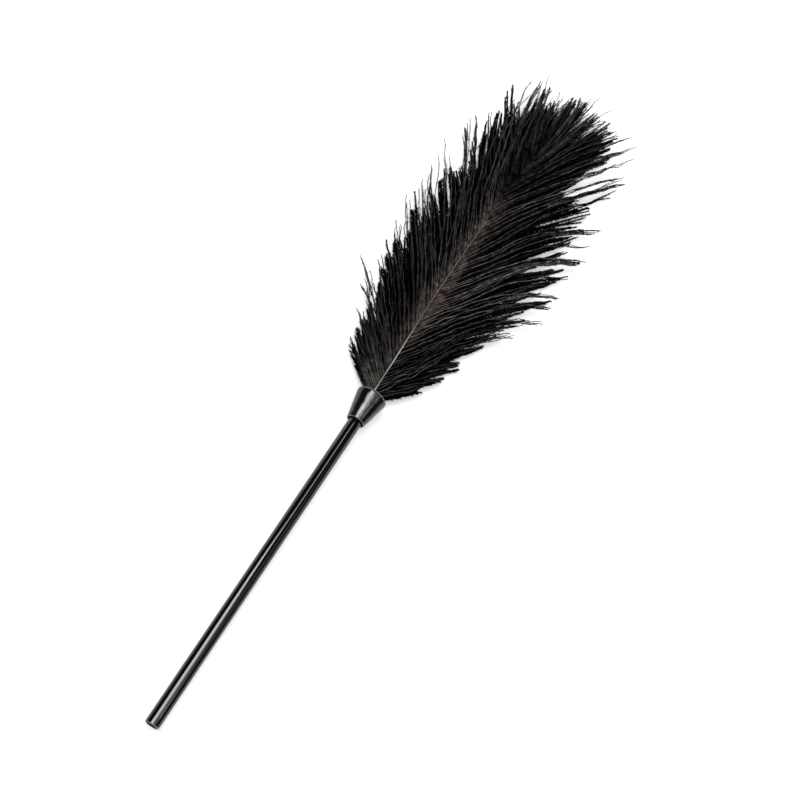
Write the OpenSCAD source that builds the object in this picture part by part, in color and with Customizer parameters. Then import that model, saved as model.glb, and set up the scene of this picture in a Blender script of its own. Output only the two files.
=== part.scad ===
// Feather duster lying at rest: a slim tube handle, a flared ferrule and a
// plume of ostrich feathers stacked on one another.
// Frame: +X runs from the butt of the handle to the tip of the plume, +Z is up,
// z = 0 is the surface it lies on, and the origin is under the middle of its length.

/* [Handle] */
// Outside diameter of the handle tube
handle_d = 5.9; // [5.7:0.1:6.3]
// Wall thickness of the handle tube
handle_wall = 0.65; // [0.55:0.05:0.75]
// Length of handle that shows behind the ferrule
grip_len = 145.3; // [120:0.1:200]
// Depth that the tube goes into the ferrule
socket_depth = 5.4; // [4.8:0.2:5.6]

/* [Ferrule] */
// Outside diameter at the narrow end
ferrule_small_d = 8.1; // [7.9:0.1:8.6]
// Largest outside diameter, behind the lip
ferrule_big_d = 13.6; // [13.2:0.1:14.5]
// Length from the narrow end to the mouth
ferrule_len = 14; // [13.8:0.1:16]
// Radius of the rounded lip round the mouth
lip_r = 1.05; // [0.7:0.05:1.2]
// Wall thickness of the flared cup at the mouth
cup_wall = 1.6; // [1.4:0.05:1.9]
// Depth of the open recess round the tube at the narrow end
recess_depth = 1.4; // [0.8:0.1:1.6]

/* [Plume] */
// Length of the plume from the mouth to its tip
plume_len = 196.7; // [150:0.1:220]
// Half width of each feather at its widest
vane_w = 32.5; // [24:0.5:36]
// How far the tips curl towards the right
tip_curl = 11; // [4:0.5:14]
// Sideways angle of the top feather
top_fan = 0.4; // [-2:0.1:2]
// Sideways angle of the middle feather
middle_fan = 3.2; // [1:0.1:5]
// Sideways angle of the bottom feather
bottom_fan = -1.6; // [-4:0.1:0]
// Height between one feather's shaft and the next
layer_step = 1.9; // [1.85:0.05:2.1]
// Thickness of a vane
vane_th = 0.8; // [0.5:0.1:1]

/* [Quills] */
// Diameter of a feather's shaft at its root
shaft_d = 1.2; // [1:0.05:1.6]
// Diameter of a feather's shaft at its tip
shaft_tip_d = 0.4; // [0.3:0.05:0.8]
// Share of the feather's length that the shaft reaches
shaft_share = 0.85; // [0.8:0.01:0.9]
// Thickness of the thread that ties the quills together
thread_d = 0.4; // [0.3:0.05:0.4]
// Turns of thread round the quills
thread_turns = 6; // [4:1:6]

/* [Hidden] */
$fn = 64;

handle_r = handle_d / 2;
bore_r = handle_r - handle_wall;
spigot_r = handle_r - 0.3;                 // end of the tube inside the ferrule
socket_r = spigot_r + 0.02;
small_r = ferrule_small_d / 2;
big_r = ferrule_big_d / 2;
mouth_x = grip_len + ferrule_len;          // plane of the ferrule's mouth
tube_end = grip_len + socket_depth;        // end of the tube inside the ferrule
lip_x = mouth_x - lip_r;                   // centre of the lip's rounding
cup_r = big_r - cup_wall;                  // inside radius at the mouth

// It lies on the butt's lower edge and on the ferrule's lip, so the axis rises a little
tilt = atan((big_r - handle_r) / lip_x);
axis_z = handle_r * cos(tilt);
mouth_z = axis_z + mouth_x * sin(tilt);    // height of the axis at the mouth

root_x = mouth_x - 0.25;                   // each feather bends about its root, just inside the mouth
half_gap = 0.15;                           // half of the break between a quill and its shaft
quill_x = tube_end + 2;                    // lower ends of the quills, set in the glue
glue_end = mouth_x - 2.2;
tip_x = root_x + plume_len;
shift_x = -tip_x / 2;

quill_r = shaft_d / 2;
top_z = mouth_z + layer_step;
middle_z = mouth_z;
bottom_z = mouth_z - layer_step;
vane_in = 0.06;                            // room between a shaft and its vanes

// Half width of a vane at share t of the feather's length
function half_w(t) = vane_w * pow(sin(180 * pow(t, 0.8)), 0.45);
// Sideways drift of a feather at share t, as its end curls over
function drift(t) = -tip_curl * pow(t, 3);
function shaft_r(t) = quill_r + (shaft_tip_d / 2 - quill_r) * min(1, t / shaft_share);
vane_t0 = 0.012;
vane_steps = 36;
function vane_t(i) = vane_t0 + (0.998 - vane_t0) * i / vane_steps;
function inner_y(t) = shaft_r(t) + vane_in;
function edge_y(t, side) = max(half_w(t) + side * drift(t), inner_y(t) + 0.4);
edge_from = 2;                             // stations between which the bottom feather's edges hang
edge_to = 32;
edge_th = 2.4;

// The handle's own frame: x along the handle from the butt
module along_axis() {
    translate([shift_x, 0, axis_z]) rotate([0, -tilt, 0]) children();
}
// Turned shape about the handle's axis, from a profile drawn as [radius, x]
module turned() {
    along_axis() rotate([0, 90, 0]) rotate_extrude($fn = 96) children();
}
// A feather's own frame: x along the feather from its root
module feather_frame(z, fan) {
    translate([shift_x + root_x, 0, z]) rotate([0, 0, fan]) children();
}
// Straight stretch of quill, from the glue to just short of the bend
module quill_rod(z, r) {
    translate([shift_x + quill_x, 0, z]) rotate([0, 90, 0])
        cylinder(r = r, h = root_x - half_gap - quill_x);
}
// Tapered shaft of a feather
module shaft_rod(z, fan) {
    feather_frame(z, fan) translate([half_gap, 0, 0]) rotate([0, 90, 0])
        cylinder(r1 = quill_r, r2 = shaft_tip_d / 2, h = plume_len * shaft_share - half_gap);
}
// One side of a feather, as thick as its barbs would be pressed flat; side is 1 on the left and -1 on the right
module vane(z, fan, side) {
    outer = [for (i = [0 : vane_steps]) let (t = vane_t(i)) [t * plume_len, side * edge_y(t, side)]];
    inner = [for (i = [vane_steps : -1 : 0]) let (t = vane_t(i)) [t * plume_len, side * inner_y(t)]];
    feather_frame(z - vane_th / 2, fan)
        linear_extrude(height = vane_th) polygon(concat(outer, inner));
}
// Barb tips along one edge of the bottom feather, hanging to the surface
module hanging_edge(z, fan, side) {
    outer = [for (i = [edge_from : edge_to]) let (t = vane_t(i)) [t * plume_len, side * edge_y(t, side)]];
    inner = [for (i = [edge_to : -1 : edge_from]) let (t = vane_t(i)) [t * plume_len, side * (edge_y(t, side) - edge_th)]];
    feather_frame(0, fan)
        linear_extrude(height = z) polygon(concat(outer, inner));
}
// Section of the winding round the stacked quills
module winding_section(r) {
    for (k = [-1, 1]) translate([0, k * layer_step]) circle(r = r);
    square([2 * r, 2 * layer_step], center = true);
}

// Gloss black tube, open at the butt, drawn down a little where it enters the ferrule
module handle_tube() color("#161616") turned() polygon([
    [bore_r, 0.15], [bore_r + 0.15, 0], [handle_r - 0.2, 0], [handle_r, 0.2],
    [handle_r, grip_len - 0.15], [spigot_r, grip_len + 0.15],
    [spigot_r, tube_end], [bore_r, tube_end]]);

// Flared plastic ferrule: socket for the tube, cup for the quills, rounded lip
module ferrule() color("#242424") turned() difference() {
    union() {
        polygon([[0, grip_len], [small_r - 0.3, grip_len], [small_r, grip_len + 0.3], [big_r - 0.02, lip_x - 0.2],
            [big_r - lip_r, lip_x], [big_r - lip_r, mouth_x], [0, mouth_x]]);
        translate([big_r - lip_r, lip_x]) circle(r = lip_r);
    }
    // cup that the quills and glue fill
    polygon([[0, tube_end - 0.1], [socket_r - 0.35, tube_end - 0.1], [socket_r - 0.35, tube_end], [socket_r, tube_end + 0.35],
        [cup_r, mouth_x - 0.8], [cup_r + 0.4, mouth_x + 0.5], [0, mouth_x + 0.5]]);
    // socket for the tube
    translate([0, grip_len - 1]) square([socket_r, socket_depth + 1]);
    // open recess round the tube at the narrow end
    polygon([[0, grip_len - 1], [small_r - 0.45, grip_len - 1], [small_r - 0.45, grip_len + recess_depth - 0.5],
        [socket_r, grip_len + recess_depth], [0, grip_len + recess_depth]]);
}

// Set glue in the bottom of the cup, cast round the quills and their winding
module glue_plug() color("#c9b98a") difference() {
    turned() polygon([[0, tube_end], [socket_r - 0.35, tube_end], [socket_r, tube_end + 0.35],
        [socket_r + (cup_r - socket_r) * (glue_end - tube_end - 0.35) / (mouth_x - 0.8 - tube_end - 0.35), glue_end],
        [0, glue_end]]);
    for (z = [top_z, middle_z, bottom_z]) quill_rod(z, quill_r);
    winding(quill_r + thread_d + 0.05, thread_turns * thread_d + 0.1, 0.05);
}

// Plain winding body of the given outside radius and length
module winding(r, len, back) {
    translate([shift_x + quill_x + 1.5 - back, 0, middle_z]) rotate([0, 90, 0]) rotate([0, 0, 90])
        linear_extrude(height = len) winding_section(r);
}

// Thread wound round the quills, turn beside turn
module binding_thread() color("#b8b0a0") difference() {
    union() {
        winding(quill_r + thread_d * 0.6, thread_turns * thread_d, 0);
        for (i = [0 : thread_turns - 1])
            translate([(i + 0.14) * thread_d, 0, 0]) winding(quill_r + thread_d, thread_d * 0.72, 0);
    }
    translate([shift_x + quill_x, 0, middle_z]) rotate([0, 90, 0]) rotate([0, 0, 90])
        linear_extrude(height = 12) winding_section(quill_r + 0.02);
}

// Top feather: the one whose shaft shows
module top_quill() color("#9a958c") quill_rod(top_z, quill_r);
module top_shaft() color("#8d877d") shaft_rod(top_z, top_fan);
module top_vane_left() color("#141313") vane(top_z, top_fan, 1);
module top_vane_right() color("#121212") vane(top_z, top_fan, -1);

// Middle feather, turned to the left under the top one
module middle_quill() color("#9a958c") quill_rod(middle_z, quill_r);
module middle_shaft() color("#8d877d") shaft_rod(middle_z, middle_fan);
module middle_vane_left() color("#161515") vane(middle_z, middle_fan, 1);
module middle_vane_right() color("#141414") vane(middle_z, middle_fan, -1);

// Bottom feather, turned to the right, the ends of its barbs hanging to the surface
module bottom_quill() color("#9a958c") quill_rod(bottom_z, quill_r);
module bottom_shaft() color("#8d877d") shaft_rod(bottom_z, bottom_fan);
module bottom_vane_left() color("#171616") {
    vane(bottom_z, bottom_fan, 1);
    hanging_edge(bottom_z, bottom_fan, 1);
}
module bottom_vane_right() color("#151515") {
    vane(bottom_z, bottom_fan, -1);
    hanging_edge(bottom_z, bottom_fan, -1);
}

handle_tube();
ferrule();
glue_plug();
binding_thread();
top_quill();
top_shaft();
top_vane_left();
top_vane_right();
middle_quill();
middle_shaft();
middle_vane_left();
middle_vane_right();
bottom_quill();
bottom_shaft();
bottom_vane_left();
bottom_vane_right();
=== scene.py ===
"""Feather duster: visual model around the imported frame. Millimetres while building, metres in the scene."""
import math
import bpy
import numpy as np
from mathutils import Matrix, Vector


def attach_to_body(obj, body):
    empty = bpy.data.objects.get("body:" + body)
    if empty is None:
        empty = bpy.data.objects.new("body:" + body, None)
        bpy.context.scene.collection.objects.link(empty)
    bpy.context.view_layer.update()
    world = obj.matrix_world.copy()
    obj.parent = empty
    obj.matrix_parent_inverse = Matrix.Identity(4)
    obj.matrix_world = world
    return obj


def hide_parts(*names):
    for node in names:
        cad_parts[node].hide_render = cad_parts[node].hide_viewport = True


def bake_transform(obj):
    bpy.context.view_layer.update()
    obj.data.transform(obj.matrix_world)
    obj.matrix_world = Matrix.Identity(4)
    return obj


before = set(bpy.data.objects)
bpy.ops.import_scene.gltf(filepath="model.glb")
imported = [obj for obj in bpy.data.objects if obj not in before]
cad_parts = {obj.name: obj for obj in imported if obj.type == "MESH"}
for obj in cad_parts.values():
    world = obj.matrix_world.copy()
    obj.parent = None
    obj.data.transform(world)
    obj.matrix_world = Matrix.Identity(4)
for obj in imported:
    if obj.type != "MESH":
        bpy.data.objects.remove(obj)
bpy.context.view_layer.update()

SHIFT = -177.875          # the butt's place along X
PLUME = -176.975          # zero of the feathers' own stations along X
HANDLE_R, BORE_R, SPIGOT_R = 2.95, 2.3, 2.65
GRIP, TUBE_END, MOUTH = 145.3, 150.7, 159.3
SMALL_R, BIG_R, LIP_R, CUP_R = 4.05, 6.8, 1.05, 5.2
ROOT = 158.15             # station where the feathers bend
TILT = math.atan((BIG_R - HANDLE_R) / (MOUTH - LIP_R))
AXIS_Z = HANDLE_R * math.cos(TILT)
FLOOR_CLEAR = 0.12
scene = bpy.context.scene


# ---------------------------------------------------------------- small maths
def hermite(xs, ys):
    """Smooth curve through points, as a function of x."""
    xs, ys = np.asarray(xs, float), np.asarray(ys, float)
    h = np.diff(xs)
    d = np.diff(ys) / h
    m = np.empty_like(ys)
    m[1:-1] = (d[:-1] * h[1:] + d[1:] * h[:-1]) / (h[:-1] + h[1:])
    m[0], m[-1] = d[0], d[-1]

    def at(x):
        x = np.asarray(x, float)
        i = np.clip(np.searchsorted(xs, x) - 1, 0, len(h) - 1)
        t = (x - xs[i]) / h[i]
        t2, t3 = t * t, t * t * t
        return ((2 * t3 - 3 * t2 + 1) * ys[i] + (t3 - 2 * t2 + t) * h[i] * m[i]
                + (-2 * t3 + 3 * t2) * ys[i + 1] + (t3 - t2) * h[i] * m[i + 1])
    return at


def value_noise(rng, x, period):
    x = np.asarray(x, float) / period
    x = x - x.min()
    v = rng.uniform(-1, 1, int(x.max()) + 3)
    i = x.astype(int)
    f = x - i
    f = f * f * (3 - 2 * f)
    return v[i] * (1 - f) + v[i + 1] * f


def unit(v):
    return v / np.maximum(np.linalg.norm(v, axis=-1, keepdims=True), 1e-9)


def smooth(a, b, x):
    t = np.clip((x - a) / (b - a), 0, 1)
    return t * t * (3 - 2 * t)


# ---------------------------------------------------------------- mesh helpers
def make_mesh(name, verts, tris, uv, tint, materials, which=None, sharp=None):
    """Triangle mesh in millimetres to an object in metres, with its bake map and colour attribute."""
    me = bpy.data.meshes.new(name)
    n, m = len(verts), len(tris)
    me.vertices.add(n)
    me.loops.add(3 * m)
    me.polygons.add(m)
    me.vertices.foreach_set("co", (np.asarray(verts, np.float32) * 0.001).ravel())
    flat = np.asarray(tris, np.int32).ravel()
    me.loops.foreach_set("vertex_index", flat)
    me.polygons.foreach_set("loop_start", np.arange(0, 3 * m, 3, dtype=np.int32))
    me.update(calc_edges=True)
    me.validate()
    for mat in materials:
        me.materials.append(mat)
    if which is not None:
        me.polygons.foreach_set("material_index", np.asarray(which, np.int32))
    me.shade_smooth()
    if sharp is not None:
        me.set_sharp_from_angle(angle=math.radians(sharp))
    layer = me.uv_layers.new(name="OFBake")
    layer.uv.foreach_set("vector", np.asarray(uv, np.float32)[flat].ravel())
    if tint is not None:
        at = me.attributes.new("tint", "FLOAT_COLOR", "POINT")
        at.data.foreach_set("color", np.c_[np.asarray(tint, np.float32), np.ones(n, np.float32)].ravel())
    ob = bpy.data.objects.new(name, me)
    scene.collection.objects.link(ob)
    return ob


def rounded(points, arc=5):
    """Closed outline from (x, r, fillet) corners, each corner rounded by its fillet."""
    out = []
    n = len(points)
    for i in range(n):
        p = np.array(points[i][:2], float)
        f = points[i][2] if len(points[i]) > 2 else 0
        if f <= 0:
            out.append(p)
            continue
        a = unit(np.array(points[i - 1][:2], float) - p)
        b = unit(np.array(points[(i + 1) % n][:2], float) - p)
        half = math.acos(float(np.clip(a @ b, -1, 1))) / 2
        back = f / math.tan(half)
        mid = unit(a + b) * (f / math.sin(half)) + p
        s, e = p + a * back - mid, p + b * back - mid
        ang = math.acos(float(np.clip(unit(s) @ unit(e), -1, 1)))
        for k in range(arc + 1):
            t = k / arc
            out.append(mid + (math.sin((1 - t) * ang) * s + math.sin(t * ang) * e) / math.sin(ang))
    return np.array(out)


def along_axis(x, y, z):
    """Handle's own frame (x along the handle from the butt) to the scene's, in millimetres."""
    c, s = math.cos(TILT), math.sin(TILT)
    return np.stack([SHIFT + x * c - z * s, y, AXIS_Z + x * s + z * c], -1)


def turned(name, outline, material, seg=112, split=4.0, sharp=32):
    """Solid of revolution about the handle's axis from a closed (x, r) outline."""
    pts = []
    for i in range(len(outline)):
        p, q = outline[i], outline[(i + 1) % len(outline)]
        k = max(1, int(math.ceil(np.linalg.norm(q - p) / split)))
        pts += [p + (q - p) * j / k for j in range(k)]
    pts = np.array(pts)
    n = len(pts)
    th = np.arange(seg) * 2 * math.pi / seg
    x = np.repeat(pts[:, 0], seg)
    r = np.repeat(pts[:, 1], seg)
    t = np.tile(th, n)
    verts = along_axis(x, r * np.cos(t), r * np.sin(t))
    i, j = np.meshgrid(np.arange(n), np.arange(seg), indexing="ij")
    a = i * seg + j
    b = ((i + 1) % n) * seg + j
    c = ((i + 1) % n) * seg + (j + 1) % seg
    d = i * seg + (j + 1) % seg
    tris = np.concatenate([np.stack([a, b, c], -1).reshape(-1, 3), np.stack([a, c, d], -1).reshape(-1, 3)])
    length = np.r_[0, np.cumsum(np.linalg.norm(np.diff(pts, axis=0), axis=1))]
    u = np.repeat(length / length[-1], seg)
    uv = np.c_[u, np.abs(((t / (2 * math.pi)) * 2) % 2 - 1)]
    me_ob = make_mesh(name, verts, orient(verts, tris), uv, None, [material], sharp=sharp)
    return me_ob


def orient(verts, tris):
    """Turns a closed mesh's faces outwards."""
    a, b, c = (verts[tris[:, k]] for k in range(3))
    vol = np.einsum("ij,ij->i", a, np.cross(b, c)).sum()
    return tris if vol > 0 else tris[:, ::-1]


# ---------------------------------------------------------------- materials
class Nodes:
    """Short way to build a node material."""

    def __init__(self, name):
        self.mat = bpy.data.materials.new(name)
        self.mat.use_nodes = True
        self.tree = self.mat.node_tree
        self.bsdf = self.tree.nodes["Principled BSDF"]

    def add(self, kind, **props):
        node = self.tree.nodes.new("ShaderNode" + kind)
        ins = props.pop("ins", {})
        for k, v in props.items():
            setattr(node, k, v)
        for k, v in ins.items():
            self.put(node.inputs[k], v)
        return node

    def put(self, socket, v):
        if isinstance(v, bpy.types.NodeSocket):
            self.tree.links.new(v, socket)
        else:
            socket.default_value = v

    def set(self, **ins):
        for k, v in ins.items():
            self.put(self.bsdf.inputs[k.replace("_", " ")], v)

    def ramp(self, fac, stops, mode="LINEAR"):
        node = self.add("ValToRGB", ins={"Fac": fac})
        node.color_ramp.interpolation = mode
        el = node.color_ramp.elements
        while len(el) < len(stops):
            el.new(0.5)
        for e, (p, c) in zip(el, stops):
            e.position = p
            e.color = c if len(c) == 4 else (*c, 1)
        return node.outputs["Color"]

    def grey(self, fac, lo, hi, a=0.0, b=1.0):
        node = self.add("MapRange", ins={"Value": fac, "From Min": a, "From Max": b, "To Min": lo, "To Max": hi})
        return node.outputs["Result"]

    def noise(self, coord, scale, detail=4.0, rough=0.55, out="Fac"):
        return self.add("TexNoise", ins={"Vector": coord, "Scale": scale, "Detail": detail,
                                         "Roughness": rough}).outputs[out]

    def mapped(self, coord, scale):
        return self.add("Mapping", ins={"Vector": coord, "Scale": scale}).outputs["Vector"]

    def mix(self, fac, a, b, mode="MIX"):
        node = self.add("MixRGB", blend_type=mode, ins={"Fac": fac, "Color1": a, "Color2": b})
        return node.outputs["Color"]

    def coord(self):
        return self.add("TexCoord").outputs["Object"]

    def bump(self, height, strength, distance):
        return self.add("Bump", ins={"Height": height, "Strength": strength, "Distance": distance}).outputs["Normal"]


def gloss_plastic(name, dark, light, rough, spec, streak, grain, ripple=0.06, swell=0.02, pale_tint_and_glint=()):
    """Moulded or drawn gloss plastic: fine streaks along the handle, dust specks, a faint ripple, and pale rim bands at
    given stations that are painted highlights (at the butt partly the cut edge's own colour).
    """
    m = Nodes(name)
    co = m.coord()
    long = m.noise(m.mapped(co, (0.04, 1.0, 1.0)), streak, 5, 0.6)
    fine = m.noise(co, grain, 4, 0.6)
    cloud = m.noise(co, 55, 3, 0.5)
    tone = m.mix(0.5, m.ramp(long, [(0.3, (0, 0, 0)), (0.7, (1, 1, 1))]), cloud)
    colour = m.ramp(tone, [(0.2, dark), (0.8, light)])
    c, s = math.cos(TILT), math.sin(TILT)
    place = m.add("VectorMath", operation="DOT_PRODUCT", ins={0: co, 1: (c, 0.0, s)}).outputs["Value"]
    zero = (SHIFT * c + AXIS_Z * s) * 0.001
    # pale bands at the given stations along the axis: painted highlights on rounded rims, at the butt partly the cut
    # edge's own pale colour
    for clean, full, pale in pale_tint_and_glint:
        at = m.grey(place, 0.0, 1.0, zero + clean * 0.001, zero + full * 0.001)
        colour = m.mix(at, colour, m.ramp(fine, [(0.3, tuple(0.4 * v for v in pale)), (0.7, pale)]))
    m.set(Base_Color=colour,
          Roughness=m.grey(m.mix(0.35, cloud, fine), rough[0], rough[1], 0.3, 0.7),
          Specular_IOR_Level=spec,
          Normal=m.add("Bump", ins={"Height": m.noise(m.mapped(co, (0.6, 1.0, 1.0)), 420, 2, 0.5), "Strength": swell, "Distance": 0.0006,
                                    "Normal": m.bump(m.mix(0.4, long, fine), ripple, 0.0002)}).outputs["Normal"])
    m.bsdf.inputs["IOR"].default_value = 1.5
    return m.mat


def feather_material(name, rough, spec, wave):
    """Dyed ostrich barb: per-lock tint from the colour attribute, which also carries painted highlight lines on the top
    barbs; finer clumps of tone, slight dull sheen.
    """
    m = Nodes(name)
    co = m.coord()
    tint = m.add("Attribute", attribute_name="tint").outputs["Color"]
    clump = m.noise(co, 380, 3, 0.55)
    fine = m.noise(co, wave, 3, 0.6)
    tone = m.mix(1.0, m.ramp(clump, [(0.36, (0.15, 0.15, 0.15)), (0.64, (1.0, 0.99, 0.98))]),
                 m.ramp(fine, [(0.3, (0.9, 0.9, 0.9)), (0.72, (2.4, 2.36, 2.32))]), "MULTIPLY")
    m.set(Base_Color=m.mix(1.0, tint, tone, "MULTIPLY"),
          Roughness=m.grey(fine, rough[0], rough[1], 0.3, 0.7),
          Specular_IOR_Level=spec,
          Normal=m.bump(fine, 0.35, 0.00012))
    return m.mat


def horn_material(name):
    """Feather shaft: horn with fibres along it, dyed unevenly."""
    m = Nodes(name)
    co = m.coord()
    tint = m.add("Attribute", attribute_name="tint").outputs["Color"]
    fibre = m.noise(m.mapped(co, (0.06, 1.0, 1.0)), 2600, 4, 0.6)
    spot = m.noise(co, 420, 3, 0.6)
    tone = m.mix(0.5, m.ramp(fibre, [(0.3, (0.6, 0.58, 0.55)), (0.7, (1.25, 1.24, 1.22))]),
                 m.ramp(spot, [(0.3, (0.7, 0.68, 0.66)), (0.7, (1.2, 1.2, 1.2))]))
    m.set(Base_Color=m.mix(1.0, tint, tone, "MULTIPLY"),
          Roughness=m.grey(spot, 0.28, 0.45, 0.3, 0.7),
          Specular_IOR_Level=0.15,
          Normal=m.bump(fibre, 0.3, 0.0001))
    return m.mat


def glue_material(name):
    m = Nodes(name)
    co = m.coord()
    blot = m.noise(co, 700, 4, 0.6)
    spot = m.add("TexVoronoi", ins={"Vector": co, "Scale": 1800.0}).outputs["Distance"]
    m.set(Base_Color=m.ramp(m.mix(0.35, blot, spot), [(0.25, (0.30, 0.22, 0.10)), (0.75, (0.56, 0.46, 0.27))]),
          Roughness=m.grey(blot, 0.22, 0.5, 0.3, 0.7),
          Normal=m.bump(m.mix(0.5, blot, spot), 0.5, 0.0003))
    return m.mat


def thread_material(name):
    m = Nodes(name)
    co = m.coord()
    ply = m.add("TexWave", wave_type="BANDS", bands_direction="DIAGONAL",
                ins={"Vector": co, "Scale": 900.0, "Distortion": 1.5, "Detail": 2.0}).outputs["Fac"]
    fuzz = m.noise(co, 5200, 3, 0.6)
    m.set(Base_Color=m.ramp(m.mix(0.4, ply, fuzz), [(0.2, (0.27, 0.25, 0.21)), (0.8, (0.55, 0.52, 0.45))]),
          Roughness=m.grey(fuzz, 0.65, 0.9, 0.3, 0.7),
          Normal=m.bump(m.mix(0.4, ply, fuzz), 0.6, 0.0002))
    return m.mat


# the handle's pale band at the butt end: partly the cut plastic edge's own colour, partly a painted highlight on the
# end face
HANDLE_MAT = gloss_plastic("handle_gloss_black", (0.0012, 0.0012, 0.0014), (0.0032, 0.0032, 0.0036), (0.06, 0.11), 0.5, 900, 5200,
                           pale_tint_and_glint=[(0.42, 0.12, (0.24, 0.23, 0.17))])
# the ferrule's pale bands on the lip and at the narrow end are painted highlights
FERRULE_MAT = gloss_plastic("ferrule_moulded_black", (0.0030, 0.0030, 0.0033), (0.0068, 0.0068, 0.0073), (0.11, 0.21), 0.5, 500, 2600, 0.16, 0.3,
                            pale_tint_and_glint=[(MOUTH - 0.85, MOUTH - 0.55, (0.24, 0.24, 0.235)), (GRIP + 0.34, GRIP + 0.1, (0.20, 0.20, 0.20))])
BARB_MAT = feather_material("ostrich_barb", (0.32, 0.5), 0.22, 2400)
FLUFF_MAT = feather_material("ostrich_barbule", (0.6, 0.85), 0.0, 1700)
HORN_MAT = horn_material("feather_shaft_horn")
GLUE_MAT = glue_material("set_glue")
THREAD_MAT = thread_material("binding_thread_twist")


def dress(node, material):
    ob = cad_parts[node]
    for k in range(max(1, len(ob.material_slots))):
        if k < len(ob.material_slots):
            ob.material_slots[k].material = material
        else:
            ob.data.materials.append(material)


dress("glue_plug", GLUE_MAT)
dress("binding_thread", THREAD_MAT)

# ---------------------------------------------------------------- handle and ferrule
handle = turned("handle_tube_gloss", rounded([
    (0, BORE_R, 0.14), (0, HANDLE_R, 0.32), (GRIP + 1.0, HANDLE_R, 0.1), (GRIP + 1.25, SPIGOT_R),
    (TUBE_END, SPIGOT_R), (TUBE_END, BORE_R)]), HANDLE_MAT)
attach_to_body(handle, "handle")
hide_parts("handle_tube")

lip = [(MOUTH - LIP_R + LIP_R * math.sin(a), BIG_R - LIP_R + LIP_R * math.cos(a))
       for a in np.linspace(math.radians(-14), math.radians(158), 22)]
ferrule = turned("ferrule_flared", np.concatenate([
    rounded([(GRIP, SMALL_R - 0.45, 0.08), (GRIP, SMALL_R, 0.30), lip[0]], 6)[:-1],
    np.array(lip),
    np.array([(MOUTH - 0.8, CUP_R), (TUBE_END + 0.35, SPIGOT_R + 0.02), (TUBE_END, SPIGOT_R + 0.02 - 0.35),
              (TUBE_END - 0.1, SPIGOT_R + 0.02 - 0.35), (TUBE_END - 0.1, SPIGOT_R + 0.02),
              (GRIP + 1.8, SPIGOT_R + 0.02), (GRIP + 1.4, SMALL_R - 0.45)])]), FERRULE_MAT, split=1.0)
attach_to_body(ferrule, "handle")
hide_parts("ferrule")


# ---------------------------------------------------------------- feathers
class Feather:
    """Path of a feather's shaft and the outline its barbs reach, in millimetres, x from the butt."""

    def __init__(self, name, path, left, right, seed):
        self.name = name
        p = np.array(path, float)
        self.x0, self.x1 = p[0, 0], p[-1, 0]
        self.y, self.z = hermite(p[:, 0], p[:, 1]), hermite(p[:, 0], p[:, 2])
        self.edge = {1: np.array(left, float), -1: np.array(right, float)}
        self.seed = seed

    def at(self, x):
        return np.stack([x, self.y(x), self.z(x)], -1)

    def heading(self, x):
        return np.arctan2(self.y(x + 0.5) - self.y(x - 0.5), 1.0)


def look(table, x, y):
    """Bilinear reading of a direction table: rows by station, columns by distance from the axis."""
    xs, ys, deg = table
    i = np.clip(np.searchsorted(xs, x) - 1, 0, len(xs) - 2)
    j = np.clip(np.searchsorted(ys, y) - 1, 0, len(ys) - 2)
    u = np.clip((x - xs[i]) / (xs[i + 1] - xs[i]), 0, 1)
    v = np.clip((y - ys[j]) / (ys[j + 1] - ys[j]), 0, 1)
    return ((1 - u) * ((1 - v) * deg[i, j] + v * deg[i, j + 1]) + u * ((1 - v) * deg[i + 1, j] + v * deg[i + 1, j + 1]))


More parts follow.
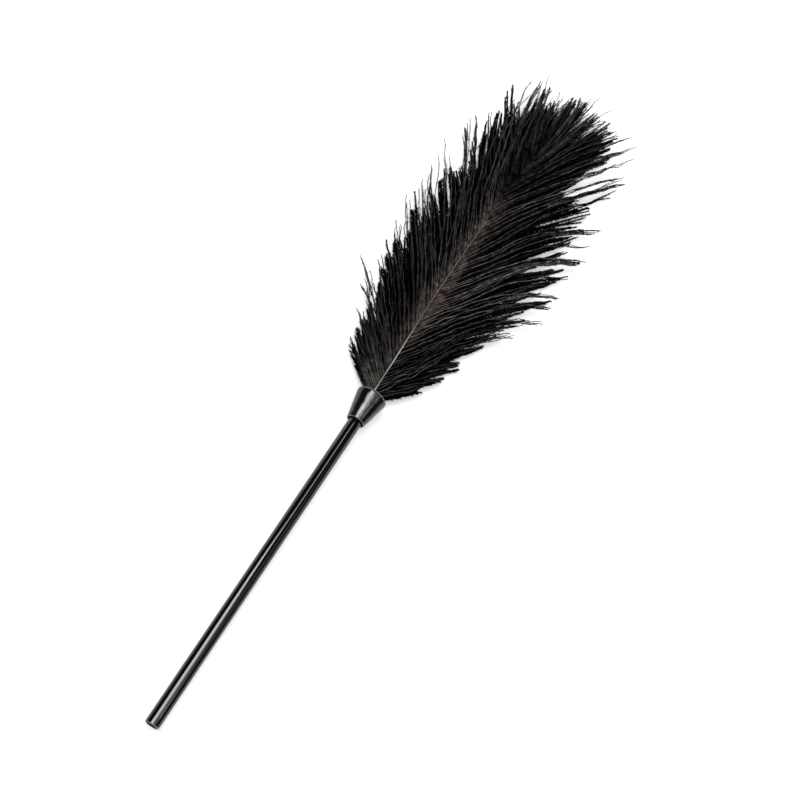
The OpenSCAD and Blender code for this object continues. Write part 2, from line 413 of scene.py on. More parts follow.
def barb_paths(rng, f, side, count, x_from, x_to, table, spread, wild, droop, reach, lift, jag, cling, clump, free, sizes, every, bulge, wave, knot, segs=30):
    """Centre lines of one side's barbs: (count, segs + 1, 3)."""
    s = (np.arange(count) + rng.uniform(0.2, 0.8, count)) / count
    grid = np.linspace(x_from, x_to, 400)
    dense = 1 + 1.3 * (1 - smooth(x_from + 6, x_from + 30, grid)) + (1.4 if side > 0 else 2.2) * smooth(x_to - 50, x_to - 8, grid)
    dense = dense + bulge * smooth(172, 190, grid) * (1 - smooth(232, 252, grid))
    x = np.interp(s, np.r_[0, np.cumsum((dense[1:] + dense[:-1]) / 2)] / ((dense[1:] + dense[:-1]) / 2).sum(), grid)
    base = f.at(x)
    # locks of neighbouring barbs that cling together, and the barbs that lie on top of them
    lock, place = np.zeros(count, int), np.zeros(count)
    k, g = 0, 0
    while k < count:
        w = int(rng.choice(sizes))
        n = len(lock[k:k + w])
        lock[k:k + w] = g
        place[k:k + w] = (np.arange(n) - (n - 1) / 2) / (n / 2)
        k, g = k + w, g + 1
    lead = np.zeros(count, bool)
    k = 1
    while k < count:
        lead[k] = True
        k += int(rng.choice(every))
    per_lock = lambda lo, hi: rng.uniform(lo, hi, g)[lock]
    loose = rng.random(count) < free
    turn = wild * (1.3 * value_noise(rng, x, 9.0) + per_lock(-1.2, 1.2) + rng.normal(0, 0.4, count)) + loose * rng.normal(0, 5.0, count) + spread
    lph, lwl = per_lock(0, 6.28), per_lock(22, 45)
    ph, wl = rng.uniform(0, 6.28, count), rng.uniform(7, 15, count)
    big, small = wild * per_lock(0.6, 2.2), wild * rng.uniform(0.8, 3.4, count) * (2.4 - 1.4 * smooth(174, 215, x))
    # walk each barb outwards along the table until it meets the outline
    fine, step = 230, 0.5
    px, py = np.empty((count, fine + 1)), np.empty((count, fine + 1))
    px[:, 0], py[:, 0] = base[:, 0], base[:, 1]
    for k in range(fine):
        l = k * step
        th = look(table, px[:, k], side * py[:, k]) + turn * min(1.0, l / 16) + min(1.0, l / 9) * (
            big * np.sin(lph + 6.28 * l / lwl) + small * np.sin(ph + 6.28 * l / wl))
        near = side * (py[:, k] - f.y(np.minimum(px[:, k], f.x1)))
        th = np.maximum(th, np.where((near < 4) & (px[:, k] < f.x1 - 12), 6.0, -25.0))
        px[:, k + 1] = px[:, k] + np.cos(np.radians(th)) * step
        py[:, k + 1] = py[:, k] + side * np.sin(np.radians(th)) * step
    edge = f.edge[side]
    out = side * (py - np.interp(px, edge[:, 0], edge[:, 1], left=edge[0, 1], right=edge[-1, 1] - side * 60)) > 0
    out[:, :6] = False
    hit = np.where(out.any(1), out.argmax(1), fine - 1)
    full = np.clip(hit * step, 5, 108)
    ragged = 1 - 0.6 * smooth(x_to - 48, x_to - 18, x)
    point = 1 - np.minimum(0.16, 9.0 / full) * np.abs(place) ** 1.3 * rng.uniform(0.4, 1.6, count)
    length = full * reach * (1 + ragged * per_lock(-jag, 0.10) * np.minimum(1.0, 55 / full)) * point * (1 + rng.normal(0, 0.03, count))
    length = np.where(rng.random(count) < 0.05, length * rng.uniform(1.03, 1.16, count), length)
    uneven = np.random.default_rng(f.seed * 10 + side + 5).uniform(-0.9, 1.15, g)[lock]
    length = length * (1 + 0.16 * (side > 0) * uneven * smooth(228, 250, x) * (1 - smooth(304, 320, x)))
    third = np.minimum((np.arange(count) - np.searchsorted(lock, lock)) // 3, 39)
    short = np.random.default_rng(f.seed * 10 + side + 7).uniform(0.0, 1.0, (g, 40))[lock, third]
    length = length * (1 - (0.2 if side > 0 else 0.08) * short ** 1.5 * smooth(286, 306, x))
    wide = np.abs(py) > 47.0
    length = np.minimum(length, np.where(wide.any(1), wide.argmax(1), fine) * step * rng.uniform(0.96, 1.0, count) * (1 - 0.07 * np.abs(place) ** 1.3))
    # resample to even shares of each barb's own length
    q = np.linspace(0, 1, segs + 1)
    at = np.clip(q[None] * length[:, None] / step, 0, fine - 0.001)
    i = at.astype(int)
    w = at - i
    row = np.arange(count)[:, None]
    X = px[row, i] * (1 - w) + px[row, i + 1] * w
    Y = py[row, i] * (1 - w) + py[row, i + 1] * w
    # height: a little lift off the shaft, then sagging towards the edge
    sag = np.clip(length / 45.0, 0.2, 1.3)
    up = lift * np.sin(np.pi * np.clip(q * 1.25, 0, 1))[None] * (1 + per_lock(-0.5, 0.6))[:, None]
    ground = base[:, 2:] - droop[0] * q[None] ** 1.4 * sag[:, None]
    Z = ground + up + (per_lock(-1, 1) * droop[1])[:, None] * q[None] ** 1.2 + rng.normal(0, 0.25, count)[:, None] * q[None]
    Z += 0.3 * q[None] ** 0.8 * np.sin(1.7 * ph[:, None] + 7 * q[None])
    P = np.stack([X, Y, Z], -1)
    # ends hook over to one side, lock by lock
    T = unit(np.gradient(P, axis=1))
    side_v = np.stack([-T[:, :, 1], T[:, :, 0]], -1)
    hook = per_lock(-1, 1)[:, None] * 1.6 * np.clip((q[None] - 0.74) / 0.26, 0, 1) ** 2
    P[:, :, :2] += hook[..., None] * side_v
    # and the free ends wave a little
    own = np.random.default_rng(f.seed * 10 + side)
    roll, bow, turns = own.uniform(0, 6.28, g)[lock], own.uniform(0.35, 1.0, g)[lock], own.uniform(11, 19, g)[lock]
    roll, bow = roll + own.normal(0, 0.5, count), wave * bow * own.uniform(0.8, 1.2, count)
    swing = bow[:, None] * np.sin(roll[:, None] + 6.28 * q[None] * (length / turns)[:, None]) * smooth(0.5, 0.9, q)[None]
    P[:, :, :2] += (swing * (1 - 0.7 * smooth(270, 300, x))[:, None])[..., None] * side_v
    # locks close up towards their ends
    tuft = np.unique(lock * 8 + np.where(x > 284, (np.arange(count) - np.searchsorted(lock, lock)) // 3, 0), return_inverse=True)[1]
    mean = np.zeros((tuft.max() + 1, segs + 1, 3))
    np.add.at(mean, tuft, P)
    mean /= np.bincount(tuft)[:, None, None]
    late = 0.6 * smooth(266, 298, x)[:, None]
    close = cling * ((1 - late) * smooth(clump[0], clump[1], q)[None] + 1.4 * late * smooth(0.66, 0.98, q)[None])
    close = close[..., None] * (1 + 0.2 * rng.normal(0, 1, (count, 1, 1))).clip(0.3, 1.15) * (np.where(loose, 0.2, 1.0) * (1 + knot * (1 - smooth(204, 226, x))))[:, None, None]
    pull = (mean[tuft] - P) * close
    P += pull - (pull * T).sum(-1, keepdims=True) * T * 0.7 * smooth(0.5, 0.9, q)[None, :, None]
    lead = lead | loose
    P[:, :, 2] += np.where(loose, 0.8, np.where(lead, 0.45, -0.12))[:, None] * smooth(0.0, 0.2, q)[None]
    P[:, :, 2] = np.maximum(P[:, :, 2], 0.55)
    P[:, :, 1] = np.clip(P[:, :, 1], -47.6, 47.6)
    return P, lock, lead, x, length


def barb_frames(P):
    T = unit(np.gradient(P, axis=1))
    S = unit(np.cross(np.array([0.0, 0.0, 1.0]), T))
    N = np.cross(T, S)
    return T, S, N


def barb_tubes(P, r0, r1, thick, flat=1.0):
    """Three-sided tapering tubes, closed at both ends."""
    n, k = P.shape[:2]
    T, S, N = barb_frames(P)
    q = np.linspace(0, 1, k)
    r = (r0 + (r1 - r0) * q ** 0.8)[None, :, None] * thick[:, None, None]
    flat = (1 + (flat - 1) * (1 - 0.7 * smooth(0.7, 0.98, q)))[None, :, None]
    ang = np.radians([90, 210, 330])
    ring = np.stack([P + r * (flat * math.cos(a) * S + math.sin(a) * N) for a in ang], 2)[:, :-1]
    per = (k - 1) * 3 + 1
    verts = np.concatenate([ring.reshape(n, -1, 3), P[:, -1:, :]], 1).reshape(-1, 3)
    one = [[0, 2, 1]]
    for i in range(k - 2):
        for j in range(3):
            a, b = i * 3 + j, i * 3 + (j + 1) % 3
            c, d = a + 3, b + 3
            one += [[a, b, d], [a, d, c]]
    top = (k - 1) * 3
    for j in range(3):
        one.append([(k - 2) * 3 + j, (k - 2) * 3 + (j + 1) % 3, top])
    tris = (np.array(one)[None] + (np.arange(n) * per)[:, None, None]).reshape(-1, 3)
    share = np.concatenate([np.repeat(q[:-1], 3), [1.0]])
    return verts, tris, np.tile(share, n), np.repeat(np.arange(n), per), np.tile(np.concatenate([np.tile([0.5, 0.2, 0.8], k - 1), [0.5]]), n)


def barbules(rng, P, length, gap, size, sweep, flare, tilt, base_len=None, drop=0.22, thin=None):
    """Short hairs on both sides of every barb: four-faced spikes."""
    n, k = P.shape[:2]
    T, S, N = barb_frames(P)
    per = np.maximum((length / gap).astype(int), 3)
    who = np.repeat(np.arange(n), per * 2)
    order = np.concatenate([np.arange(2 * c) for c in per])
    side = np.where(order % 2 == 0, 1.0, -1.0)
    q = (order // 2 + rng.uniform(0, 1, len(who))) / per[who]
    q = 0.03 + 0.955 * q
    at = q * (k - 1)
    i = np.minimum(at.astype(int), k - 2)
    w = (at - i)[:, None]
    lerp = lambda A: A[who, i] * (1 - w) + A[who, i + 1] * w
    B, t, s, nn = lerp(P), unit(lerp(T)), unit(lerp(S)), unit(lerp(N))
    m = len(who)
    beta = np.radians(sweep[0] + (sweep[1] - sweep[0]) * rng.random(m)) * (1 - 0.35 * q)
    gam = np.radians(rng.normal(tilt, flare, m))
    d = np.cos(beta)[:, None] * t + np.sin(beta)[:, None] * (side[:, None] * np.cos(gam)[:, None] * s + np.sin(gam)[:, None] * nn)
    prof = np.interp(q, [0, 0.1, 0.3, 0.75, 0.92, 1.0], [0.8, 1.0, 1.05, 1.05, 1.0, 0.8])
    ln = size[0] * prof * rng.uniform(0.6, 1.25, m)
    if base_len is not None:
        ln *= 1 + base_len[who] * (1 - smooth(0.08, 0.4, q))
    wid = size[1] * rng.uniform(0.75, 1.2, m)
    if thin is not None:
        ln, wid = ln * (1 - thin[who] * smooth(0.6, 1.0, q)), wid * (1 - 0.6 * thin[who] * smooth(0.6, 1.0, q))
    B = B - drop * nn
    e1 = unit(np.cross(d, nn))
    e2 = np.cross(d, e1)
    tip = B + d * ln[:, None]
    tip[:, 2] -= 0.10 * ln
    h = (wid / 2)[:, None]
    verts = np.stack([B + e1 * h, B - 0.5 * e1 * h + 0.866 * e2 * h, B - 0.5 * e1 * h - 0.866 * e2 * h, tip], 1).reshape(-1, 3)
    one = np.array([[0, 2, 1], [0, 1, 3], [1, 2, 3], [2, 0, 3]])
    tris = (one[None] + 4 * np.arange(m)[:, None, None]).reshape(-1, 3)
    across = np.stack([np.full(m, 0.5), np.full(m, 0.46), np.full(m, 0.54), 0.5 + 0.45 * side], 1).ravel()
    share = np.stack([q, q, q, np.clip(q + 0.03, 0, 1)], 1).ravel()
    return verts, tris, share, np.repeat(who, 4), across


def vane(f, side, count, table, seed, wild=1.5, spread=0.0, droop=(3.5, 0.9), reach=1.0, lift=0.7, x_from=157.0, x_to=None,
         budget=190000, size=(1.6, 0.36), sweep=(9, 30), tilt=-22, brown=0.0, ash=0.0, jag=0.13, cling=0.7, clump=(0.05, 0.5), free=0.0,
         sizes=(4, 6, 8), every=(3, 3, 4), bulge=0.0, wave=0.0, knot=0.0, taper=0.25, line=1.0, gain=((0, 1), (400, 1)), fuzz=0.3, flat=1.0):
    rng = np.random.default_rng(seed)
    P, lock, lead, x, length = barb_paths(rng, f, side, count, x_from, x_to or f.x1, table, spread, wild, droop, reach, lift, jag, cling, clump,
                                          free, sizes, every, bulge, wave, knot)
    down = brown * (smooth(172, 190, x) if side > 0 else smooth(180, 198, x)) * (1 - smooth(258, 284, x))
    va, ta, qa, wa, ca = barb_tubes(P, 0.14, 0.08, np.where(lead, 1.25, 0.85) * (1 + 0.25 * smooth(266, 298, x)), flat)
    gap = 8.0 * length.sum() / (budget - len(ta))
    ending = smooth(266, 298, x)
    vb, tb, qb, wb, cb = barbules(rng, P, length, gap, size, sweep, 24, tilt, 0.9 * down, thin=taper + (0.35 - taper) * ending)
    verts = np.concatenate([va, vb])
    tris = np.concatenate([ta, tb + len(va)])
    q, who, across = np.r_[qa, qb], np.r_[wa, wb], np.r_[ca, cb]
    shade = np.random.default_rng(seed + 1).uniform(0.6, 1.4, lock.max() + 1)[lock]
    black = np.array([0.0019, 0.0018, 0.0017])
    warm = np.array([0.155, 0.121, 0.116])
    grey = np.array([0.080, 0.077, 0.072])
    # pale lines along the top (lead) barbs: painted highlights standing in for the gloss on the tops of the ropes,
    # partly also the barb shafts' own paler colour; line and gain set their strength
    thread = line * np.minimum(1.9, np.exp(np.random.default_rng(seed + 3).normal(0, 0.6, count))) * np.where(lead, 1.0, 0.08)
    reachmm = q * length[who]
    wbrown = (0.85 * down[who] * (1 - smooth(1.5, 13.0, reachmm)))[:, None]
    wash = ash * np.maximum((1 - smooth(161, 174, x))[who] * (1 - smooth(0.25, 0.75, q)), 0.6 * (1 - smooth(178, 198, x))[who] * (1 - smooth(1.5, 7.0, reachmm)))[:, None]
    fade = (1 - 0.55 * smooth(262, 290, x)[who] * (1 - smooth(0.05, 0.45, q))) * np.interp(x, *zip(*gain))[who] * (1 - 0.35 * (side < 0) * smooth(0.6, 0.9, q))
    pale = np.array([0.062, 0.060, 0.057]) * (thread[who] * fade * (1 - 0.3 * ending[who] - 0.35 * smooth(288, 312, x)[who]))[:, None]
    tubes = np.arange(len(verts)) < len(va)
    root = np.r_[np.ones(len(va)), np.tile([1.0, 1.0, 1.0, 0.0], len(vb) // 4)]
    col = black[None] * shade[who][:, None]
    # the pale line also spreads onto the barbule roots (fuzz): painted highlight
    col = col + pale * (fuzz * root * (1 - 0.7 * ending[who]))[:, None]
    # barb tubes take at least the pale painted-highlight line, otherwise black lightening towards their ends; the top
    # barbs are painted lighter again in the brown and grey zones, a painted highlight
    col[tubes] = np.maximum(pale, 1.5 * black * (1 + 3.5 * smooth(0.55, 0.95, q) * shade[who])[:, None])[tubes]
    col = col * (1 - wbrown) + warm * wbrown * np.where(tubes & lead[who], 1.5, 1.0)[:, None]
    col = col * (1 - wash) + grey * wash * np.where(tubes & lead[who], 1.6, 1.0)[:, None]
    speck = np.exp(np.random.default_rng(seed + 2).normal(-0.3, 0.8, len(vb) // 4))
    col[len(va):] *= np.repeat(speck, 4)[:, None]
    verts[:, 0] += PLUME
    verts[:, 2] = np.maximum(verts[:, 2], FLOOR_CLEAR)
    uv = np.c_[0.01 + 0.98 * q, (who + 0.08 + 0.84 * across) / count]
    shine = lead[wa[ta[:, 0]]] & ((x[wa[ta[:, 0]]] < 272) | (qa[ta[:, 0]] > 0.3))
    which = np.r_[np.where(shine, 0, 1), np.ones(len(tb))]
    label = "left" if side > 0 else "right"
    ob = make_mesh(f"{f.name}_barbs_{label}", verts, tris, uv, col, [BARB_MAT, FLUFF_MAT], which)
    attach(ob, f, f"{f.name}_vane_{label}")
    return ob


def attach(ob, f, *nodes):
    z = float(f.z(ROOT)) * 0.001
    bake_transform(ob)
    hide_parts(*nodes)


def shaft(f, r_root, r_tip, pale_to, pale, lift=0.0):
    """Tapering shaft with a raised ridge along its top and a groove beside it; the ridge's top is painted pale, partly
    the horn's own colour, partly a painted highlight.
    """
    rings, seg = 150, 20
    x = np.linspace(f.x0, f.x1, rings)
    c = f.at(x)
    c[:, 2] += lift * smooth(196, 208, x) * (1 - smooth(246, 264, x)) - 0.8 * smooth(248, 285, x)
    t = unit(np.gradient(c, axis=0))
    s = unit(np.cross(np.array([0.0, 0.0, 1.0]), t))
    n = np.cross(t, s)
    q = np.linspace(0, 1, rings)
    r = r_root + (r_tip - r_root) * q
    a = np.arange(seg) * 2 * math.pi / seg
    ridge = 1 + 0.16 * np.exp(-((a - math.radians(98)) / 0.26) ** 2) - 0.22 * np.exp(-((a - math.radians(48)) / 0.28) ** 2)
    verts = c[:, None] + r[:, None, None] * ridge[None, :, None] * (np.cos(a)[None, :, None] * s[:, None] + np.sin(a)[None, :, None] * n[:, None])
    verts = np.concatenate([verts.reshape(-1, 3), c[:1] - t[:1] * r_root * 0.3, c[-1:] + t[-1:] * 2.5])
    tris = []
    i, j = np.meshgrid(np.arange(rings - 1), np.arange(seg), indexing="ij")
    A, B = i * seg + j, i * seg + (j + 1) % seg
    C, D = A + seg, B + seg
    tris = np.concatenate([np.stack([A, B, D], -1).reshape(-1, 3), np.stack([A, D, C], -1).reshape(-1, 3)])
    k = np.arange(seg)
    first, last = rings * seg, rings * seg + 1
    caps = np.concatenate([np.stack([(k + 1) % seg, k, np.full(seg, first)], -1),
                           np.stack([(rings - 1) * seg + k, (rings - 1) * seg + (k + 1) % seg, np.full(seg, last)], -1)])
    tris = orient(verts, np.concatenate([tris, caps]))
    # pale strip along the top of the ridge: partly the horn's own pale colour, partly a painted highlight; dimmer near
    # the ferrule's mouth and past pale_to
    on = np.exp(-((a - math.radians(98)) / 0.35) ** 2)[None] * np.interp(x, [158, 162, 165, 169, 173, 400], [0.6, 0.8, 0.55, 0.45, 1, 1])[:, None] * (0.42 + 0.58 * (1 - smooth(pale_to - 22, pale_to, x)))[:, None]
    far = smooth(pale_to - 12, pale_to + 4, x)
    # past pale_to the pale strip (painted highlight on the horn's own colour) varies at random ring by ring, and fades
    # out towards the tip
    pale_tint_and_glint = np.random.default_rng(f.seed * 10 + 9).uniform(0.5, 1.1, rings)
    on = on * ((1 - smooth(262, 290, x)) * (1 - far + far * pale_tint_and_glint))[:, None]
    dark = np.array([0.026, 0.020, 0.018]) * (1 - 0.8 * smooth(258, 292, x))[:, None, None]
    col = dark * (1 - on[..., None]) + np.array(pale) * (1 - far[:, None, None] * np.array([0.0, 0.09, 0.14])) * on[..., None]
    col = np.concatenate([col.reshape(-1, 3), dark[0], dark[-1]])
    uv = np.concatenate([np.stack(np.meshgrid(0.01 + 0.98 * q, np.abs(2 * k / seg - 1), indexing="ij"), -1).reshape(-1, 2), [[0, 0.5]], [[1, 0.5]]])
    verts[:, 0] += PLUME
    ob = make_mesh(f"{f.name}_shaft_horn", verts, tris, uv, col, [HORN_MAT])
    attach(ob, f, f"{f.name}_quill", f"{f.name}_shaft")
    return ob


LEFT = [(156, 5), (160, 9), (164, 13), (172, 18.5), (180, 22), (188, 24), (196, 26), (204, 29.5), (212, 30.5), (220, 29.5), (230, 31), (244, 33),
        (260, 35), (276, 34), (292, 34), (308, 31.5), (316, 29.5), (324, 26.5), (332, 26), (339, 20.5), (346.5, 11.5), (352.5, 1), (355.5, -6)]
RIGHT = [(156, -6), (160, -8.5), (164, -11), (172, -15.5), (180, -18), (188, -20.5), (196, -23.5), (204, -24.5), (212, -27), (220, -30),
         (228, -36), (236, -37.5), (244, -39), (252, -45), (260, -49), (268, -48), (276, -45.5), (284, -47), (292, -44.5), (300, -43),
         (308, -39.5), (316, -37), (324, -34.5), (332, -33.5), (339, -35.5), (346.5, -36.5), (351.5, -30.5), (354.5, -17), (355.5, -7)]
LOW_L = [(156, 5), (164, 10), (172, 16.5), (180, 19), (188, 21), (196, 22), (204, 25.5), (212, 26), (220, 25), (230, 25.5), (244, 27.5), (260, 27),
         (276, 24), (292, 22), (308, 22.5), (316, 20), (324, 19.5), (332, 15.5), (340, 10), (347, 1), (351, -5)]
LOW_R = [(156, -6), (164, -10.5), (172, -14), (180, -17), (188, -19.5), (196, -22.5), (204, -22.5), (212, -24.5), (220, -27.5), (228, -32),
         (236, -34), (252, -36), (260, -37.5), (268, -33), (276, -31), (284, -33.5), (292, -30), (300, -24.5), (308, -23.5), (316, -23),
         (324, -23.5), (332, -29), (340, -28), (348, -22), (354, -8)]

top = Feather("top", [(151.8, 0, 8.72), (155, 0.25, 8.75), (158.4, 0.55, 8.85), (166, 0.7, 9.3), (178, 0.85, 9.8), (191, 1.2, 10.2), (208, 1.7, 10.4),
                      (230, 1.7, 10.2), (252, 1.5, 10.0), (270, 1.5, 9.8), (291, 0.9, 9.5), (311, -0.8, 9.2), (323, -2.2, 8.9)],
              LEFT, RIGHT, 11)
middle = Feather("middle", [(151.8, 0, 6.82), (158.4, 0.1, 6.82), (180, 1.2, 6.85), (212, 2.8, 6.7), (245, 3.9, 6.5), (278, 4.2, 6.3), (303, 3.2, 6.1), (322, 1.2, 5.9)],
                 LOW_L, LOW_R, 23)
bottom = Feather("bottom", [(151.8, 0, 4.92), (158.4, -0.1, 4.92), (180, -0.8, 4.7), (212, -1.9, 4.3), (245, -3.1, 4.0), (278, -4.7, 3.7), (303, -6.6, 3.5), (322, -8.8, 3.2)],
                 [(x, 0.96 * y) for x, y in LOW_L], LOW_R, 37)

# direction of the barbs in degrees from the handle's axis: station, then one column per distance from the axis
STEPS = np.array([0, 6, 12, 18, 24, 30, 36, 42], float)


def directions(*rows):
    t = np.array(rows, float)
    return t[:, 0], STEPS, t[:, 1:]


D_LEFT = directions(
    (160, 48, 50, 54, 55, 55, 55, 55, 55), (176, 37, 39, 46, 47, 50, 52, 52, 52), (188, 32, 33, 37, 37, 45, 49, 50, 50),
    (200, 29, 31, 33, 33, 38, 43, 45, 45), (212, 27, 28, 32, 30, 32, 39, 42, 42), (224, 24, 24, 30, 29, 30, 33, 34, 34),
    (236, 23, 24, 27, 27, 28, 30, 31, 31), (248, 23, 24, 22, 24, 27, 29, 30, 30), (260, 23, 24, 19, 22, 27, 30, 30, 30),
    (272, 22, 23, 17, 20, 26, 28, 29, 29), (284, 20, 20, 15, 18, 24, 27, 28, 28), (296, 17, 16, 14, 18, 22, 25, 26, 26),
    (308, 14, 13, 12, 15, 19, 22, 23, 23), (320, 12, 11, 10, 13, 17, 20, 20, 20), (332, 6, 6, 7, 10, 14, 15, 15, 15),
    (344, 2, 3, 4, 5, 8, 9, 9, 9), (356, 0, 2, 3, 4, 5, 6, 6, 6))
D_RIGHT = directions(
    (160, 34, 34, 34, 36, 38, 38, 38, 38), (176, 33, 33, 27, 32, 33, 34, 34, 34), (188, 31, 31, 22, 28, 29, 31, 31, 31),
    (200, 29, 29, 22, 27, 33, 35, 36, 36), (212, 31, 32, 29, 32, 36, 43, 48, 50), (224, 30, 32, 28, 30, 33, 40, 48, 50),
    (236, 28, 28, 25, 27, 35, 40, 47, 50), (248, 25, 25, 26, 29, 33, 41, 51, 57), (260, 23, 23, 23, 25, 35, 44, 52, 57),
    (272, 23, 25, 24, 25, 33, 40, 48, 50), (284, 25, 27, 27, 27, 34, 42, 45, 49), (296, 23, 25, 27, 28, 31, 37, 39, 46),
    (308, 19, 21, 24, 29, 29, 31, 32, 36), (320, 10, 13, 20, 29, 30, 31, 31, 34), (332, 4, 8, 16, 27, 31, 32, 34, 34),
    (344, 2, 8, 12, 24, 27, 28, 32, 32), (356, 0, 4, 9, 22, 29, 31, 32, 32))

D_LOW_L = directions(
    (160, 50, 52, 56, 58, 58, 58, 58, 58), (176, 36, 38, 42, 45, 48, 50, 50, 50), (200, 28, 29, 31, 33, 35, 37, 38, 38),
    (236, 26, 27, 29, 31, 32, 34, 34, 34), (272, 24, 25, 27, 29, 30, 31, 31, 31), (300, 22, 23, 25, 27, 28, 29, 29, 29),
    (320, 12, 14, 17, 20, 22, 24, 24, 24), (340, 3, 6, 10, 14, 18, 20, 20, 20), (356, 0, 3, 6, 9, 12, 12, 12, 12))
D_LOW_R = directions(
    (160, 48, 47, 46, 46, 46, 46, 46, 46), (176, 36, 36, 37, 38, 38, 38, 38, 38), (205, 25, 27, 30, 33, 35, 36, 37, 38),
    (245, 23, 26, 29, 32, 35, 38, 38, 38), (298, 22, 24, 27, 30, 33, 34, 34, 34), (320, 8, 12, 18, 24, 28, 30, 30, 30),
    (340, 3, 8, 14, 20, 26, 28, 30, 30), (356, 0, 5, 10, 16, 22, 26, 26, 26))

# each shaft's pale colour goes on its ridge top: partly the horn's own colour, partly a painted highlight
shaft(top, 0.42, 0.16, 199, (0.96, 0.95, 0.93), lift=0.8)
shaft(middle, 0.58, 0.20, 181, (0.36, 0.33, 0.28))
shaft(bottom, 0.58, 0.20, 181, (0.36, 0.33, 0.28))
# line, fuzz and gain set each layer's painted highlight lines: strongest on the top feather, weaker on the lower ones
vane(top, 1, 165, D_LEFT, 101, brown=1.0, ash=1.0, wild=2.0, jag=0.10, reach=1.07, free=0.14, sizes=(2, 3, 4, 5), every=(2, 3), clump=(0.3, 0.85),
     wave=0.3, size=(1.5, 0.28), sweep=(8, 42), taper=0.05, line=1.0, fuzz=0.3, gain=((158, 1.2), (163, 1.0), (168, 0.6), (190, 0.6), (205, 1.0)))
vane(top, -1, 185, D_RIGHT, 202, brown=1.0, wild=1.7, jag=0.12, reach=1.13, free=0.0, sizes=(3, 4, 5, 6, 7), every=(2, 3, 3), clump=(0.4, 0.9), cling=0.8,
     bulge=0.7, wave=0.85, size=(1.7, 0.34), sweep=(8, 36), taper=0.1, line=2.4, fuzz=0.03, gain=((158, 0.35), (168, 0.4), (180, 1.2), (200, 1.3), (215, 1.0)))
vane(middle, 1, 165, D_LOW_L, 303, wild=0.9, droop=(3.0, 0.7), reach=1.12, lift=0.3, ash=0.4, cling=0.3, clump=(0.5, 1.0), sweep=(16, 46), size=(2.1, 0.65), taper=0.25,
     line=0.5, fuzz=0.1, flat=3.2, budget=185000)
vane(middle, -1, 180, D_LOW_R, 404, wild=0.9, droop=(3.0, 0.7), reach=1.14, lift=0.3, cling=0.4, clump=(0.5, 1.0), sweep=(20, 55), size=(2.1, 0.7), taper=0.3, knot=0.9,
     line=0.5, gain=((158, 0.4), (170, 0.5), (182, 1.0)), fuzz=0.1, flat=4.2, budget=190000)
vane(bottom, 1, 165, D_LOW_L, 505, wild=0.9, spread=2.0, droop=(3.0, 0.5), reach=1.13, lift=0.2, ash=0.4, cling=0.3, clump=(0.5, 1.0), sweep=(18, 50), size=(2.2, 0.7), taper=0.25,
     line=0.3, fuzz=0.1, flat=3.6, budget=185000)
vane(bottom, -1, 180, D_LOW_R, 606, wild=0.9, spread=3.0, droop=(3.0, 0.5), reach=1.14, lift=0.2, cling=0.4, clump=(0.5, 1.0), sweep=(20, 55), size=(2.2, 0.75), taper=0.3, knot=0.9,
     line=0.3, gain=((158, 0.4), (170, 0.5), (182, 1.0)), fuzz=0.1, flat=4.6, budget=190000)


# ---------------------------------------------------------------- stage, light and camera
def stage_mesh():
    """Pale floor that turns up into a backdrop beyond the plume."""
    rings = [0.0, 0.3, 0.7, 1.4, 2.2, 2.8]
    rise = np.linspace(0.0, 1.0, 6)[1:]
    seg = 120
    az = np.arange(seg) * 2 * math.pi / seg
    off = np.degrees(np.abs((az + math.pi) % (2 * math.pi) - math.pi))
    tall = 2.8 * np.tan(np.radians(np.interp(off, [0, 58, 64, 70, 76, 80, 180], [23, 22, 19, 10, 2, 0.2, 0.2])))
    verts, faces = [(0, 0, 0)], []
    for r in rings[1:]:
        verts += [(r * math.cos(a), r * math.sin(a), 0) for a in az]
    for t in rise:
        verts += [(2.8 * math.cos(a) * (1 + 0.02 * t), 2.8 * math.sin(a) * (1 + 0.02 * t), t * h) for a, h in zip(az, tall)]
    for k in range(seg):
        faces.append((0, 1 + k, 1 + (k + 1) % seg))
    for i in range(len(rings) - 2 + len(rise)):
        for k in range(seg):
            a, b = 1 + i * seg + k, 1 + i * seg + (k + 1) % seg
            faces.append((a, a + seg, b + seg, b))
    me = bpy.data.meshes.new("studio_floor")
    me.from_pydata(verts, [], faces)
    m = Nodes("studio_paper")
    co = m.coord()
    grain = m.noise(co, 60, 3, 0.5)
    m.set(Base_Color=m.ramp(grain, [(0.2, (0.90, 0.90, 0.90)), (0.8, (0.92, 0.92, 0.92))]), Roughness=0.9, Specular_IOR_Level=0.1)
    away = m.add("VectorMath", operation="LENGTH", ins={0: co}).outputs["Value"]
    m.set(Emission_Color=(1, 1, 1, 1), Emission_Strength=m.grey(away, 0.42, 1.15, 1.0, 2.0))
    me.materials.append(m.mat)
    ob = bpy.data.objects.new("studio_floor", me)
    scene.collection.objects.link(ob)


def softbox(name, at, to, size, radiance, diffuse=True, glossy=True):
    data = bpy.data.lights.new(name, "AREA")
    data.shape = "RECTANGLE"
    data.size, data.size_y = size
    data.energy = radiance * math.pi * size[0] * size[1]
    ob = bpy.data.objects.new(name, data)
    scene.collection.objects.link(ob)
    z = (Vector(at) - Vector(to)).normalized()
    x = (Vector((1, 0, 0)) - z * z.x).normalized()
    rot = Matrix((x, z.cross(x), z)).transposed()
    ob.matrix_world = Matrix.Translation(at) @ rot.to_4x4()
    ob.visible_diffuse, ob.visible_glossy = diffuse, glossy


stage_mesh()
world = bpy.data.worlds.new("studio")
world.use_nodes = True
wt = world.node_tree
ray = wt.nodes.new("ShaderNodeLightPath")
level = wt.nodes.new("ShaderNodeMapRange")
level.inputs["To Min"].default_value, level.inputs["To Max"].default_value = 0.02, 1.0
wt.links.new(ray.outputs["Is Camera Ray"], level.inputs["Value"])
wt.nodes["Background"].inputs["Color"].default_value = (1, 1, 1, 1)
wt.links.new(level.outputs["Result"], wt.nodes["Background"].inputs["Strength"])
scene.world = world
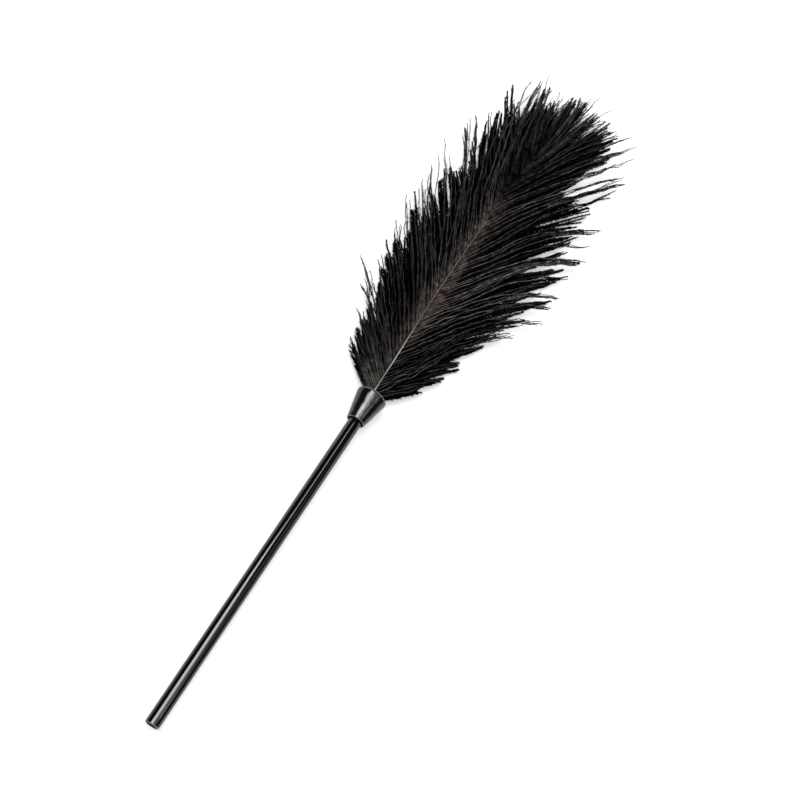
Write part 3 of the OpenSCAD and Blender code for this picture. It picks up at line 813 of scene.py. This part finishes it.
# wide overhead light, a key a little to the left, and the panels that the gloss shows
softbox("ceiling", (0, 0, 1.9), (0, 0, 0), (4.2, 4.2), 0.95, glossy=False)
softbox("left_key", (-0.05, 0.28, 1.05), (0, 0, 0), (0.55, 0.55), 4.0, glossy=False)
for name, x0, x1, y0, y1, radiance in [
        ("panel_core", -0.40, 0.24, 0.15, 0.36, 17.0),
        ("panel_shoulder", -0.40, 0.24, 0.36, 0.64, 9.5),
        ("panel_taper", 0.24, 0.42, 0.00, 0.24, 6.0),
        ("panel_mid", -0.40, 0.14, -0.18, 0.15, 6.5),
        ("panel_low", -0.40, 0.10, -0.48, -0.18, 1.7),
        ("panel_side", -0.01, 0.06, -1.25, -0.58, 4.0),
        ("panel_side_butt", -0.60, -0.01, -1.25, -0.58, 1.3),
        ("panel_side_far", 0.06, 0.45, -1.30, -0.70, 1.0)]:
    c = ((x0 + x1) / 2, (y0 + y1) / 2)
    softbox(name, (*c, 1.0), (*c, 0.0), (x1 - x0, y1 - y0), radiance, diffuse=False)
softbox("panel_rear", (-0.95, 0.15, 0.75), (-0.1, 0, 0), (0.9, 0.9), 5.0, diffuse=False)

EYE, AIM = Vector((-0.272899, -0.005162, 0.489702)), Vector((-0.011934, -0.010479, 0.005025))
FOCAL_PX, ROLL = 1315.908, math.radians(56.726)
fwd = (AIM - EYE).normalized()
along = (Vector((1, 0, 0)) - fwd * fwd.x).normalized()
across = fwd.cross(along)
right = along * math.cos(ROLL) + across * math.sin(ROLL)
up = right.cross(fwd)
cam = bpy.data.cameras.new("camera")
cam.sensor_fit = "HORIZONTAL"
cam.sensor_width = 36.0
cam.lens = FOCAL_PX * 36.0 / 800.0
cam.clip_start, cam.clip_end = 0.01, 20.0
cam_ob = bpy.data.objects.new("camera", cam)
cam_ob.matrix_world = Matrix.Translation(EYE) @ Matrix((right, up, -fwd)).transposed().to_4x4()
scene.collection.objects.link(cam_ob)
scene.camera = cam_ob
scene.view_settings.view_transform = "Standard"
scene.view_settings.look = "None"
